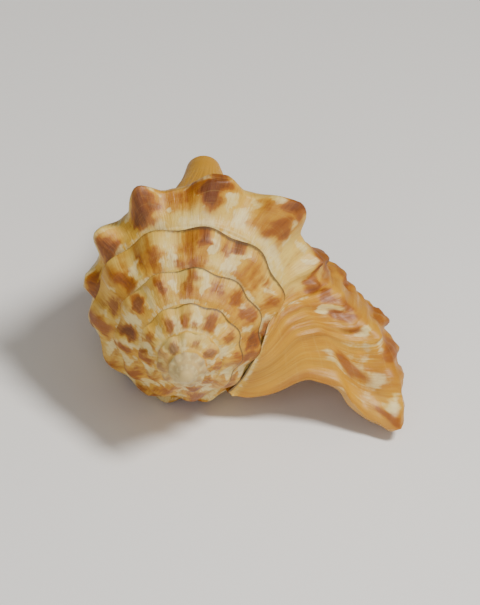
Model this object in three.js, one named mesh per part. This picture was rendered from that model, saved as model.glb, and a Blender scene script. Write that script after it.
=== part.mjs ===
// A knobbed conch shell lying on its opening: a tall spire of eight whorls, a last whorl with
// blunt shoulder knobs and a flared outer lip, an open aperture and a short siphonal canal.
// Lengths are in millimetres. The shell grew as one piece, so it is one closed mesh.
//
// The surface is a spiral sheet. "turn" counts whorls from the apex, and a whole number of turns
// faces the back of the shell. "q" runs across a whorl: 0 at the suture, 1 at the shoulder and 2 at
// the front end. A place on the sheet has a radius from the axis and a depth below the apex.
import * as THREE from "three";

// Driving dimensions
const LIP_TURN = 8.42; // the outer lip's edge
const TURNS = 8;
const CAVITY_TURNS = 0.5; // how far the aperture goes in before the whorl closes
const WALL_AT_LIP = 3.4;
const WALL_INSIDE = 2.4;
const TIP_RADIUS = 6.3; // the ring at the front end
const TIP_DEPTH = 149;
const TIP_ROUNDING = 3;
const CANAL_BEND = { start: 100, end: 150, back: 5.8, side: 6.1 };
const KNOBS_PER_TURN = 10.9; // on the spire
const KNOB_REFERENCE_TURN = 7.035;
const SPIRE_KNOB_SHARE = 0.085; // a spire knob's height, as a share of its radius
const KNOB_RISE = 0.35; // how far a knob leans to the apex, as a share of its height
const LEAD_TURNS = 0.25; // the stretch over which the lip's edge leaves its own plane

// How the shell lies: degrees about its own axis, then about the line across it
const REST_ROLL = -9.5;
const REST_PITCH = -2.5;
const WEAR = 0.8; // worn flat where it touches what it lies on

// Shoulder line: turn, radius, depth below the apex
const SHOULDER = [
  [0, 0.6, 0.2],
  [1, 2.2, 1.7],
  [2, 3.8, 4],
  [3, 6.2, 7.6],
  [4, 10.2, 13.2],
  [5, 16.5, 21.5],
  [6, 24.3, 32.5],
  [6.33, 25.4, 36.5],
  [6.6, 28.2, 39.5],
  [7, 32, 44.5],
  [7.33, 33.6, 46.5],
  [7.5, 33.2, 48.5],
  [7.64, 31.2, 51],
  [7.74, 32, 54.5],
  [7.82, 35, 57],
  [7.906, 38.8, 60],
  [7.964, 42.4, 62],
  [8.09, 45.2, 65.5],
  [8.197, 46.6, 68],
  [8.245, 48.3, 67.8],
  [8.288, 52.4, 67],
  [8.32, 58.7, 65],
  [8.352, 68, 61],
  [8.389, 76.2, 57],
  [8.405, 81.5, 53],
  [LIP_TURN, 88.9, 46],
];

// The last suture leaves the shoulder below it and climbs the spire to the lip
const SUTURE_END = [
  [8, 33.2, 49.5],
  [8.15, 34, 51],
  [8.217, 33.5, 50],
  [8.242, 30.4, 47],
  [8.258, 28.8, 43.5],
  [8.278, 28.2, 40],
  [8.303, 27.9, 39.1],
  [8.333, 27.7, 39],
  [8.375, 29.2, 40.3],
  [LIP_TURN, 31.8, 42.5],
];
const SUTURE_BLEND = { start: 7.6, end: 8 }; // from the spire's rule to SUTURE_END

// The side of the last whorl and of what the aperture shows of the whorl before it, from the
// shoulder to the front end: turn, then a value at each q
const SIDE_Q = [1.06, 1.15, 1.28, 1.42, 1.57, 1.7, 1.82, 1.92];
const SIDE_RADIUS = [
  [6.9, 30.5, 28.5, 23.5, 17, 12, 9, 7.3, 6.5],
  [7.27, 32.8, 32.2, 29, 24, 18, 13, 9.5, 7.5],
  [7.42, 35.5, 37.5, 37.5, 33.5, 26, 18.5, 12.5, 8.6],
  [7.55, 35.5, 37.5, 37.3, 33.3, 26, 18.5, 12.5, 8.6],
  [7.75, 32.8, 33.2, 32, 28.5, 22.5, 16, 11, 8],
  [7.964, 41, 37.5, 31.8, 25.5, 19.3, 14, 10.3, 7.8],
  [8.09, 44.6, 41.2, 35.2, 28.5, 21.3, 15.5, 11.2, 8.2],
  [8.2, 46.2, 44, 38.8, 31.5, 24, 17.4, 12.2, 8.6],
  [8.288, 53, 52.8, 49, 41, 30.5, 21.8, 14.5, 9.5],
  [8.352, 68.6, 68.4, 63, 53, 40.5, 28.5, 19, 11.5],
  [LIP_TURN, 90.5, 91, 89, 82, 68.5, 51, 33.5, 18],
];
const SIDE_DEPTH = [
  [6.9, 48, 55, 66, 79.5, 94, 108, 121, 134],
  [7.27, 50.5, 56.5, 67.5, 81, 95.5, 108.5, 121, 134],
  [7.42, 52, 58, 69, 82, 96, 109, 121, 134],
  [7.55, 54.5, 60.5, 71, 83.5, 97.5, 110, 122, 134.5],
  [7.75, 58.5, 65, 76, 88, 100.5, 112, 123.5, 135.5],
  [7.964, 66, 73, 84, 95, 106, 116.5, 127, 137.5],
  [8.09, 69.5, 77, 87.5, 98.5, 109, 119, 129, 138.5],
  [8.2, 72, 79.5, 90.5, 101.5, 112, 121.5, 130.5, 139.5],
  [8.288, 72, 81, 93.5, 105, 115.5, 124.5, 132.5, 140.5],
  [8.352, 67.5, 78.5, 93, 106.5, 118, 127, 134, 141],
  [LIP_TURN, 52.5, 65, 82, 99, 114.5, 126, 134.5, 142],
];

// How far the middle of the shoulder ramp stands off a straight line: turn, height
const RAMP_ARCH = [
  [0, 0],
  [5, 0.2],
  [7.5, 0.5],
  [8, 1],
  [8.2, 1.6],
  [8.35, 3],
  [LIP_TURN, 4.2],
];

// Where the aperture starts behind the shoulder, how its rows are spaced (a power of the row) and
// where it ends in the canal: turn, value
const INNER_START = [
  [8.36, 0.5],
  [LIP_TURN, 0.3],
];
const INNER_SPACING = [
  [8.1, 0.45],
  [8.3, 0.6],
  [LIP_TURN, 1],
];
const FRONT_Q = [
  [6.9, 1.66],
  [7.2, 1.7],
  [7.35, 1.85],
  [7.42, 1.965],
];

// The outline of the lip's edge: q, degrees that it runs ahead of the last column's own plane
const LIP_LEAD = [
  [0, 0],
  [0.08, -4],
  [0.14, -9],
  [0.2, -15.7],
  [0.24, -21.7],
  [0.285, -27.6],
  [0.35, -31.4],
  [0.55, -32.7],
  [0.67, -30],
  [0.81, -28.6],
  [0.95, -29.8],
  [1.05, -31],
  [1.25, -28],
  [1.6, -25],
  [1.78, -31],
  [1.88, -24],
  [2, 0],
];

// Knobs of the last whorl: degrees round from the back, height, half width in degrees
const SHOULDER_KNOBS = [
  [-193, 2.6, 13],
  [-168, 3, 13],
  [-129, 2.6, 15],
  [-98, 2.8, 13],
  [-74, 4.6, 12],
  [-48, 6.8, 12],
  [-21, 8.2, 12],
  [14.5, 7.4, 16],
  [38, 2.5, 8],
  [49, 10, 15],
  [80, 3.5, 9],
  [108, 1.5, 7],
];

// Knobs beside the shoulder line: the same, then the q of the middle
const SIDE_KNOBS = [
  [-20, 1, 12, 1.3],
  [15, 1.5, 13, 1.3],
  [48, 2.5, 14, 1.3],
  [90, 3.8, 9, 1.18],
  [108, 3.4, 7, 1.22],
  [129.5, 6, 5, 1.22],
  [136.5, 4, 4, 1.16],
  [143, 1.2, 3, 1.13],
  [94, 2.2, 7, 0.82],
  [113, 2.6, 5, 0.92],
  [121.5, 2.8, 4.5, 0.87],
  [127.5, 3, 4.5, 0.99],
];
const SIDE_KNOB_REACH = 0.13;

// Mesh steps: columns along the spiral, finer next to the lip, and rows across a whorl
const FINE_DEGREES = 60; // the stretch before the lip
const FINE_COLUMNS = 26;
const COARSE_COLUMNS = 48;
const COLUMNS_PER_TURN = FINE_COLUMNS + COARSE_COLUMNS;
const SPIRE_ROWS = 3;
const RAMP_ROWS = 6;
const SIDE_ROWS = 18;
const SEAM_Q = 1.05; // where the next whorl's suture lies on a whorl
const CORNER_Q = 1.1; // where the inside of the next whorl meets it
const TURN_STEP = 0.001; // for the normal of the inside
const Q_STEP = 0.12;

const LIP = TURNS * COLUMNS_PER_TURN;
const LAST_START = LIP - COLUMNS_PER_TURN;
const COARSE_DEGREES = (360 - FINE_DEGREES) / COARSE_COLUMNS;
const CAVITY_COLUMNS =
  FINE_COLUMNS + Math.round((CAVITY_TURNS * 360 - FINE_DEGREES) / COARSE_DEGREES);
const CAVITY_START = LIP - CAVITY_COLUMNS;
const END_WALL_LEAN = 3; // columns
const FRONT = SIDE_ROWS - 1;

const { lerp, clamp, smoothstep, degToRad } = THREE.MathUtils;

// Smooth curve through keys [x, value, ...], without overshoot
function along(keys, x, column = 1) {
  const last = keys.length - 1;
  const at = clamp(x, keys[0][0], keys[last][0]);
  let k = 0;
  while (k < last - 1 && at > keys[k + 1][0]) k++;
  const slope = (n) => (keys[n + 1][column] - keys[n][column]) / (keys[n + 1][0] - keys[n][0]);
  const tangent = (n) => {
    if (n === 0) return slope(0);
    if (n === last) return slope(last - 1);
    const before = slope(n - 1);
    const after = slope(n);
    return before * after > 0 ? (2 * before * after) / (before + after) : 0;
  };
  const span = keys[k + 1][0] - keys[k][0];
  const t = (at - keys[k][0]) / span;
  const rise = t * t * (3 - 2 * t);
  return (
    lerp(keys[k][column], keys[k + 1][column], rise) +
    span * t * (1 - t) * ((1 - t) * tangent(k) - t * tangent(k + 1))
  );
}

function shoulderAt(turn) {
  return { r: along(SHOULDER, turn, 1), depth: along(SHOULDER, turn, 2) };
}

function sideAt(turn, q) {
  const shoulder = shoulderAt(turn);
  const middle = SIDE_Q.map((at, n) => [
    at,
    along(SIDE_RADIUS, turn, n + 1),
    along(SIDE_DEPTH, turn, n + 1),
  ]);
  const outline = [[1, shoulder.r, shoulder.depth], ...middle, [2, TIP_RADIUS, TIP_DEPTH]];
  return { r: along(outline, q, 1), depth: along(outline, q, 2) };
}

// Just past the shoulder of a spire whorl, where the next suture runs
function spireEdge(turn) {
  const { r, depth } = shoulderAt(turn);
  return { r: r * 1.02 + 0.1, depth: depth + 0.25 + r * 0.075 };
}

function sutureAt(turn) {
  if (turn > SUTURE_BLEND.end)
    return { r: along(SUTURE_END, turn, 1), depth: along(SUTURE_END, turn, 2) };
  const spire = spireEdge(turn - 1);
  const share = smoothstep(turn, SUTURE_BLEND.start, SUTURE_BLEND.end);
  return {
    r: lerp(spire.r, SUTURE_END[0][1], share),
    depth: lerp(spire.depth, SUTURE_END[0][2], share),
  };
}

// Radius and depth of the smooth whorl, without knobs
function section(turn, q) {
  if (q > 1) return sideAt(turn, q);
  const suture = sutureAt(turn);
  const shoulder = shoulderAt(turn);
  const across = Math.hypot(shoulder.r - suture.r, shoulder.depth - suture.depth);
  const arch = (4 * q * (1 - q) * along(RAMP_ARCH, turn)) / across;
  return {
    r: lerp(suture.r, shoulder.r, q) - arch * (shoulder.depth - suture.depth),
    depth: lerp(suture.depth, shoulder.depth, q) + arch * (shoulder.r - suture.r),
  };
}

const bump = (away) => (away < 1 ? 0.5 + 0.5 * Math.cos(Math.PI * away) : 0);

// How high the knobs stand at a place on the whorl
function knobHeight(turn, q) {
  const onLast = smoothstep(turn, 7.3, 7.4);
  const reach = q < 1 ? smoothstep(q, 0.2, 1) : 1 - smoothstep(q, 1, lerp(1.08, 1.2, onLast));
  const phase = (turn - KNOB_REFERENCE_TURN) * KNOBS_PER_TURN;
  const wave = Math.cos(Math.PI * (phase - Math.round(phase))) ** 2;
  const spire = SPIRE_KNOB_SHARE * shoulderAt(turn).r * wave * reach * smoothstep(turn, 1.5, 3.5);
  const degrees = (turn - TURNS) * 360;
  let last = 0;
  for (const [at, height, halfWidth] of SHOULDER_KNOBS)
    last += height * bump(Math.abs(degrees - at) / halfWidth) * reach;
  for (const [at, height, halfWidth, middle] of SIDE_KNOBS)
    last +=
      height *
      bump(Math.abs(degrees - at) / halfWidth) *
      (1 - smoothstep(Math.abs(q - middle), 0, SIDE_KNOB_REACH));
  return lerp(spire, last, onLast);
}

// A point with x to the right, y to the back of the shell and z to the apex
function place(turn, q, r, depth) {
  const lead = smoothstep(turn, LIP_TURN - LEAD_TURNS, LIP_TURN) * along(LIP_LEAD, q);
  const azimuth = turn * 2 * Math.PI + degToRad(lead);
  const bend = smoothstep(depth, CANAL_BEND.start, CANAL_BEND.end);
  return new THREE.Vector3(
    r * Math.sin(azimuth) + CANAL_BEND.side * bend,
    r * Math.cos(azimuth) + CANAL_BEND.back * bend,
    -depth,
  );
}

function outerPoint(turn, q, knobs = true) {
  const { r, depth } = section(turn, q);
  const height = knobs ? knobHeight(turn, q) : 0;
  return place(turn, q, r + height, depth - KNOB_RISE * height);
}

// The inside of the wall: the smooth whorl, moved in along its normal. The normal is taken over a
// wide step in q, which rounds the inside of the shoulder.
function innerPoint(turn, q) {
  const here = outerPoint(turn, q, false);
  const back = outerPoint(turn - TURN_STEP, q, false).sub(here);
  const across = outerPoint(turn, q + Q_STEP, false).sub(outerPoint(turn, q - Q_STEP, false));
  const wall = lerp(WALL_AT_LIP, WALL_INSIDE, clamp((LIP_TURN - turn) / CAVITY_TURNS, 0, 1));
  return here.addScaledVector(back.cross(across).normalize(), wall);
}

function turnOf(column) {
  const whole = Math.floor(column / COLUMNS_PER_TURN);
  const within = column - whole * COLUMNS_PER_TURN;
  const fine = Math.max(0, within - COARSE_COLUMNS);
  const degrees = (within - fine) * COARSE_DEGREES + (fine * FINE_DEGREES) / FINE_COLUMNS;
  return LIP_TURN - TURNS + whole + degrees / 360;
}

// Where the next whorl's suture crosses this whorl: low on it only where the last one climbs
function seamQ(turn) {
  const crossing = (at) => {
    const from = sutureAt(at).r;
    return clamp((sutureAt(at + 1).r - from) / (shoulderAt(at).r - from), 0.08, SEAM_Q);
  };
  const lipTurn = LIP_TURN - 1;
  if (turn <= lipTurn) return crossing(turn);
  return lerp(crossing(lipTurn), SEAM_Q, smoothstep(turn, lipTurn, lipTurn + 0.15));
}

const points = [];
const triangles = [];
const known = new Map();

function vertex(key, make) {
  if (!known.has(key)) {
    known.set(key, points.length);
    points.push(make());
  }
  return known.get(key);
}

const apex = () => vertex("apex", () => new THREE.Vector3(0, 0, 0));

// The line that one whorl's side and the next whorl's ramp share
function seam(column) {
  if (column < 0) return apex();
  return vertex(`seam ${column}`, () => {
    const turn = turnOf(column);
    if (column > LAST_START) return outerPoint(turn, seamQ(turn));
    const { r, depth } = sutureAt(turn + 1);
    const height = knobHeight(turn, 1) * seamQ(turn);
    return place(turn, 1, r + 0.8 * height, depth - KNOB_RISE * height);
  });
}

const rampRows = (column) => (column < LAST_START ? SPIRE_ROWS : RAMP_ROWS);

function ramp(column, row) {
  if (row === 0) return seam(column - COLUMNS_PER_TURN);
  if (row === rampRows(column)) return seam(column);
  const turn = turnOf(column);
  return vertex(`ramp ${column} ${row}`, () =>
    outerPoint(turn, (seamQ(turn) * row) / rampRows(column)),
  );
}

function sideQ(turn, row) {
  return row > FRONT ? 2 : lerp(CORNER_Q, along(FRONT_Q, turn), (row - 1) / (FRONT - 1));
}

function side(column, row) {
  if (row === 0) return seam(column);
  if (column === LIP && row === SIDE_ROWS) return side(LAST_START, SIDE_ROWS);
  return vertex(`side ${column} ${row}`, () => {
    const turn = turnOf(column);
    return outerPoint(turn, sideQ(turn, row));
  });
}

// The ramp is short except at the lip, so further in few rows lie on it
function innerQ(turn, row) {
  const share = (row / (FRONT - 1)) ** along(INNER_SPACING, turn);
  return lerp(along(INNER_START, turn), along(FRONT_Q, turn - 1), share);
}

// The inside starts and ends on the whorl before, one turn back
function inner(column, row) {
  if (row === 0 || row === FRONT - 1) return side(column - COLUMNS_PER_TURN, row + 1);
  const turn = turnOf(column);
  return vertex(`inner ${column} ${row}`, () => innerPoint(turn, innerQ(turn, row)));
}

function triangle(a, b, c) {
  if (a !== b && b !== c && c !== a) triangles.push(a, b, c);
}

const evenly = (vertices) => vertices.map((_, n) => n / (vertices.length - 1));

// Fills the strip between two lines of vertices, which may have different numbers of them. It
// pairs the vertices by how far along their line they are.
function strip(first, second, firstAt = evenly(first), secondAt = evenly(second)) {
  let i = 0;
  let j = 0;
  while (i < first.length - 1 || j < second.length - 1) {
    const firstNext = i < first.length - 1 && firstAt[i + 1] <= (secondAt[j + 1] ?? Infinity);
    if (firstNext) {
      triangle(first[i], second[j], first[i + 1]);
      i++;
    } else {
      triangle(first[i], second[j], second[j + 1]);
      j++;
    }
  }
}

const line = (from, to, point) =>
  Array.from({ length: to - from + 1 }, (_, n) => point(from + n));
const rampLine = (column) => line(0, rampRows(column), (row) => ramp(column, row));
const sideLine = (column) => line(0, SIDE_ROWS, (row) => side(column, row));
const wallLine = (column) => line(1, FRONT, (row) => side(column, row));
const innerLine = (column) => line(0, FRONT - 1, (row) => inner(column, row));

function apexWhorl() {
  for (let column = 0; column < COLUMNS_PER_TURN - 1; column++)
    triangle(apex(), seam(column + 1), seam(column));
  strip([apex(), seam(COLUMNS_PER_TURN - 1)], rampLine(COLUMNS_PER_TURN));
}

function ramps() {
  for (let column = COLUMNS_PER_TURN; column < LIP; column++)
    strip(rampLine(column), rampLine(column + 1));
}

function lastSide() {
  for (let column = LAST_START; column < LIP; column++)
    strip(sideLine(column), sideLine(column + 1));
}

// The aperture: the whorl before is its floor, the inside of the last whorl is its roof. The floor
// goes a little deeper, so the wall that ends the aperture leans.
function aperture() {
  const roofEnd = CAVITY_START - COLUMNS_PER_TURN;
  const floorEnd = roofEnd - END_WALL_LEAN;
  for (let column = CAVITY_START; column < LIP; column++)
    strip(innerLine(column + 1), innerLine(column));
  for (let column = floorEnd; column < LAST_START; column++)
    strip(wallLine(column), wallLine(column + 1));
  const endLine = [
    ...line(floorEnd + 1, roofEnd, (column) => side(column, 1)).reverse(),
    ...wallLine(floorEnd),
    ...line(floorEnd + 1, roofEnd, (column) => side(column, FRONT)),
  ];
  strip(innerLine(CAVITY_START), endLine);
}

function lipEdge() {
  const rampQ = line(0, RAMP_ROWS, (row) => (SEAM_Q * row) / RAMP_ROWS);
  const outerQ = [...rampQ, ...line(1, SIDE_ROWS, (row) => sideQ(LIP_TURN, row))];
  const insideQ = line(0, FRONT - 1, (row) => (row === 0 ? 0 : innerQ(LIP_TURN, row)));
  const outerLine = [...rampLine(LIP), ...sideLine(LIP).slice(1)];
  strip(outerLine, innerLine(LIP), outerQ, insideQ);
}

function frontEnd() {
  const tip = vertex("tip", () => place(TURNS, 2, 0, TIP_DEPTH + TIP_ROUNDING));
  for (let column = LAST_START; column < LIP; column++)
    triangle(tip, side(column, SIDE_ROWS), side(column + 1, SIDE_ROWS));
}

apexWhorl();
ramps();
lastSide();
aperture();
lipEdge();
frontEnd();

// Lays the shell on its opening, with the apex to -Y, and wears it flat at z = 0
function layDown() {
  const pose = new THREE.Matrix4()
    .makeRotationX(degToRad(REST_PITCH))
    .multiply(new THREE.Matrix4().makeRotationY(degToRad(REST_ROLL)))
    .multiply(new THREE.Matrix4().makeRotationX(Math.PI / 2));
  for (const p of points) p.applyMatrix4(pose);
  const box = new THREE.Box3().setFromPoints(points);
  const center = box.getCenter(new THREE.Vector3());
  for (const p of points) {
    p.x -= center.x;
    p.y -= center.y;
    p.z = Math.max(p.z - box.min.z - WEAR, 0);
  }
}

layDown();

const geometry = new THREE.BufferGeometry();
geometry.setAttribute(
  "position",
  new THREE.Float32BufferAttribute(
    points.flatMap((p) => [p.x, p.y, p.z]),
    3,
  ),
);
geometry.setIndex(triangles);

const shell = new THREE.Mesh(
  geometry,
  new THREE.MeshStandardMaterial({ color: 0xd9a866, roughness: 0.45, metalness: 0 }),
);
shell.name = "shell";

const group = new THREE.Group();
group.add(shell);
export default group;
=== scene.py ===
import bpy
import numpy as np
from mathutils import Matrix, Vector, noise


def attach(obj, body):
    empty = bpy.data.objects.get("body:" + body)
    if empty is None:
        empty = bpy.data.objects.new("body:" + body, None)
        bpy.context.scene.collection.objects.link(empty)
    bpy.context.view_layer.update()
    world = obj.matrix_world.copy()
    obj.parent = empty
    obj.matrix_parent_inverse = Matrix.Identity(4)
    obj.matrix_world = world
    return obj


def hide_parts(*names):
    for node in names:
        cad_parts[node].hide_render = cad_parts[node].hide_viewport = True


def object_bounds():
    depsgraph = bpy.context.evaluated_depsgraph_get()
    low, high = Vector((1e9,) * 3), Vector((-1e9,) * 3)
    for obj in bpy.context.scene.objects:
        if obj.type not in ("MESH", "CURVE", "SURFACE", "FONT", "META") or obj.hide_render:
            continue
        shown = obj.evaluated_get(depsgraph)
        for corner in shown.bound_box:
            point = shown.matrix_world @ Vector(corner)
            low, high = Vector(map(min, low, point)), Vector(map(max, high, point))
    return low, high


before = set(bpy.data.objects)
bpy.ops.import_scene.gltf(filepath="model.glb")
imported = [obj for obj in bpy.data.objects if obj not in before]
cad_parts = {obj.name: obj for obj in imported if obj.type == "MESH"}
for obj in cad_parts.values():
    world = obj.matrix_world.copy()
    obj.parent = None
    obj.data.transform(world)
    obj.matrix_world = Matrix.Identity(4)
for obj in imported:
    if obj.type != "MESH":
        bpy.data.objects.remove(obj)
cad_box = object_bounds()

LIP_TURN = 8.42
TURNS = 8
CAVITY_TURNS = 0.5
WALL_AT_LIP = 3.4
WALL_INSIDE = 2.4
TIP_RADIUS = 6.3
TIP_DEPTH = 149.0
TIP_ROUNDING = 3.0
BEND_START = 100.0
BEND_END = 150.0
BEND_BACK = 5.8
BEND_SIDE = 6.1
KNOBS_PER_TURN = 10.9
KNOB_REFERENCE_TURN = 7.035
SPIRE_KNOB_SHARE = 0.085
KNOB_RISE = 0.35
LEAD_TURNS = 0.25
REST_ROLL = -9.5
REST_PITCH = -2.5
WEAR = 0.8

# Turns over which the spire's knobs grow, and over which the last whorl's own take their place
FIRST_KNOBS = (1.5, 3.5)
LAST_KNOBS = (7.3, 7.4)

# q where a knob's foot starts on the ramp, and how far below the shoulder a knob reaches
KNOB_FOOT_Q = 0.2
SPIRE_KNOB_END_Q = 1.08
LAST_KNOB_END_Q = 1.2

# The suture on the spire, against the shoulder line of the whorl before it
EDGE_SPREAD = 1.02
EDGE_OUT = 0.1
EDGE_DROP = 0.25
EDGE_SLOPE = 0.075

# Shoulder line: turn, radius, depth below the apex
SHOULDER = [
    [0, 0.6, 0.2],
    [1, 2.2, 1.7],
    [2, 3.8, 4],
    [3, 6.2, 7.6],
    [4, 10.2, 13.2],
    [5, 16.5, 21.5],
    [6, 24.3, 32.5],
    [6.33, 25.4, 36.5],
    [6.6, 28.2, 39.5],
    [7, 32, 44.5],
    [7.33, 33.6, 46.5],
    [7.5, 33.2, 48.5],
    [7.64, 31.2, 51],
    [7.74, 32, 54.5],
    [7.82, 35, 57],
    [7.906, 38.8, 60],
    [7.964, 42.4, 62],
    [8.09, 45.2, 65.5],
    [8.197, 46.6, 68],
    [8.245, 48.3, 67.8],
    [8.288, 52.4, 67],
    [8.32, 58.7, 65],
    [8.352, 68, 61],
    [8.389, 76.2, 57],
    [8.405, 81.5, 53],
    [LIP_TURN, 88.9, 46],
]

# The last suture leaves the shoulder below it and climbs the spire to the lip
SUTURE_END = [
    [8, 33.2, 49.5],
    [8.15, 34, 51],
    [8.217, 33.5, 50],
    [8.242, 30.4, 47],
    [8.258, 28.8, 43.5],
    [8.278, 28.2, 40],
    [8.303, 27.9, 39.1],
    [8.333, 27.7, 39],
    [8.375, 29.2, 40.3],
    [LIP_TURN, 31.8, 42.5],
]
SUTURE_BLEND = (7.6, 8)

# The side of the last whorl, from the shoulder to the front end: turn, then a value at each q
SIDE_Q = [1.06, 1.15, 1.28, 1.42, 1.57, 1.7, 1.82, 1.92]
SIDE_RADIUS = [
    [6.9, 30.5, 28.5, 23.5, 17, 12, 9, 7.3, 6.5],
    [7.27, 32.8, 32.2, 29, 24, 18, 13, 9.5, 7.5],
    [7.42, 35.5, 37.5, 37.5, 33.5, 26, 18.5, 12.5, 8.6],
    [7.55, 35.5, 37.5, 37.3, 33.3, 26, 18.5, 12.5, 8.6],
    [7.75, 32.8, 33.2, 32, 28.5, 22.5, 16, 11, 8],
    [7.964, 41, 37.5, 31.8, 25.5, 19.3, 14, 10.3, 7.8],
    [8.09, 44.6, 41.2, 35.2, 28.5, 21.3, 15.5, 11.2, 8.2],
    [8.2, 46.2, 44, 38.8, 31.5, 24, 17.4, 12.2, 8.6],
    [8.288, 53, 52.8, 49, 41, 30.5, 21.8, 14.5, 9.5],
    [8.352, 68.6, 68.4, 63, 53, 40.5, 28.5, 19, 11.5],
    [LIP_TURN, 90.5, 91, 89, 82, 68.5, 51, 33.5, 18],
]
SIDE_DEPTH = [
    [6.9, 48, 55, 66, 79.5, 94, 108, 121, 134],
    [7.27, 50.5, 56.5, 67.5, 81, 95.5, 108.5, 121, 134],
    [7.42, 52, 58, 69, 82, 96, 109, 121, 134],
    [7.55, 54.5, 60.5, 71, 83.5, 97.5, 110, 122, 134.5],
    [7.75, 58.5, 65, 76, 88, 100.5, 112, 123.5, 135.5],
    [7.964, 66, 73, 84, 95, 106, 116.5, 127, 137.5],
    [8.09, 69.5, 77, 87.5, 98.5, 109, 119, 129, 138.5],
    [8.2, 72, 79.5, 90.5, 101.5, 112, 121.5, 130.5, 139.5],
    [8.288, 72, 81, 93.5, 105, 115.5, 124.5, 132.5, 140.5],
    [8.352, 67.5, 78.5, 93, 106.5, 118, 127, 134, 141],
    [LIP_TURN, 52.5, 65, 82, 99, 114.5, 126, 134.5, 142],
]

# How far the middle of the shoulder ramp stands off a straight line: turn, height
RAMP_ARCH = [
    [0, 0],
    [5, 0.2],
    [7.5, 0.5],
    [8, 1],
    [8.2, 1.6],
    [8.35, 3],
    [LIP_TURN, 4.2],
]

# Where the aperture starts behind the shoulder, the power that spaces its rows, and where it ends
# in the canal: turn, value
INNER_START = [[8.36, 0.5], [LIP_TURN, 0.3]]
INNER_SPACING = [[8.1, 0.45], [8.3, 0.6], [LIP_TURN, 1]]
FRONT_Q = [[6.9, 1.66], [7.2, 1.7], [7.35, 1.85], [7.42, 1.965]]

# The outline of the lip's edge: q, degrees that it runs ahead of the last column's own plane
LIP_LEAD = [
    [0, 0],
    [0.08, -4],
    [0.14, -9],
    [0.2, -15.7],
    [0.24, -21.7],
    [0.285, -27.6],
    [0.35, -31.4],
    [0.55, -32.7],
    [0.67, -30],
    [0.81, -28.6],
    [0.95, -29.8],
    [1.05, -31],
    [1.25, -28],
    [1.6, -25],
    [1.78, -31],
    [1.88, -24],
    [2, 0],
]

# Knobs of the last whorl: degrees round from the back, height, half width in degrees
SHOULDER_KNOBS = [
    [-193, 2.6, 13],
    [-168, 3, 13],
    [-129, 2.6, 15],
    [-98, 2.8, 13],
    [-74, 4.6, 12],
    [-48, 6.8, 12],
    [-21, 8.2, 12],
    [14.5, 7.4, 16],
    [38, 2.5, 8],
    [49, 10, 15],
    [80, 3.5, 9],
    [108, 1.5, 7],
]

# Knobs beside the shoulder line: the same, then the q of the middle
SIDE_KNOBS = [
    [-20, 1, 12, 1.3],
    [15, 1.5, 13, 1.3],
    [48, 2.5, 14, 1.3],
    [90, 3.8, 9, 1.18],
    [108, 3.4, 7, 1.22],
    [129.5, 6, 5, 1.22],
    [136.5, 4, 4, 1.16],
    [143, 1.2, 3, 1.13],
    [94, 2.2, 7, 0.82],
    [113, 2.6, 5, 0.92],
    [121.5, 2.8, 4.5, 0.87],
    [127.5, 3, 4.5, 0.99],
]
SIDE_KNOB_REACH = 0.13

# Mesh steps: columns along the spiral, finer next to the lip, and rows across a whorl
FINE_DEGREES = 60
FINE_COLUMNS = 84
COARSE_COLUMNS = 180
COLUMNS_PER_TURN = FINE_COLUMNS + COARSE_COLUMNS
SPIRE_ROWS = 13
RAMP_ROWS = 40
RAMP_SPACING = 1.3
SIDE_ROWS = 66
SEAM_Q = 1.05
CORNER_Q = 1.1
TURN_STEP = 0.001
Q_STEP = 0.12
SEAM_MIN_Q = 0.08
SEAM_BLEND = 0.15
SEAM_KNOB_SHARE = 0.8
LAST_WHORL_BLEND = 0.1
END_WALL_LEAN = 10
SHARP_ANGLE = 50

LIP = TURNS * COLUMNS_PER_TURN
LAST_START = LIP - COLUMNS_PER_TURN
COARSE_DEGREES = (360 - FINE_DEGREES) / COARSE_COLUMNS
CAVITY_COLUMNS = FINE_COLUMNS + round((CAVITY_TURNS * 360 - FINE_DEGREES) / COARSE_DEGREES)
CAVITY_START = LIP - CAVITY_COLUMNS
ROOF_END = CAVITY_START - COLUMNS_PER_TURN
FLOOR_END = ROOF_END - END_WALL_LEAN
SIDE_START = LAST_START - FLOOR_END
FRONT = SIDE_ROWS - 1

MM = 0.001

# Relief finer than the CAD's facets. Heights, places and widths are in millimetres, frequencies
# are for each millimetre, and all of it grows with the shoulder's radius.
RELIEF_RADIUS = (2, 14)
WELT_HEIGHT = 0.8
WELT_AT = 1.9
WELT_WIDTH = 1.6
GROOVE_DEPTH = 0.5
GROOVE_TURNS = (2.5, 5)
RIDGE_HEIGHT = 0.22
RIDGES_PER_TURN = 43
RIDGE_START_Q = (0.1, 0.5)
RIPPLE_HEIGHT = 0.35
RIPPLE_FREQUENCY = 0.11
LUMP_HEIGHT = 1.1
LUMP_FREQUENCY = 0.26
RELIEF_END_Q = (1.85, 2)

# Ridges are uneven: how much, then radians for each turn and the start of each wave. Beside the
# lip they are higher: turns, and the share of their height before and after.
RIDGE_WANDER = 1.1
RIDGE_WAVES = [(57.3, 0), (91.7, 1.3)]
LIP_RIDGE_TURNS = (8.2, 8.33)
LIP_RIDGE_SHARE = (0.4, 1.6)

# Where the low lumps beside the lip start and end
LUMP_TURNS = (8.2, 8.26)
LUMP_START_Q = (0.7, 0.85)
LUMP_END_Q = (1.3, 1.6)

# The layers of the sheet, as the corner attribute says them
OUTSIDE = 0
ROOF = 1
FLOOR = 2
EDGE = 3


def smooth(x, low=0.0, high=1.0):
    t = np.clip((x - low) / (high - low), 0, 1)
    return t * t * (3 - 2 * t)


def mix(a, b, share):
    return a + (b - a) * share


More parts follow.
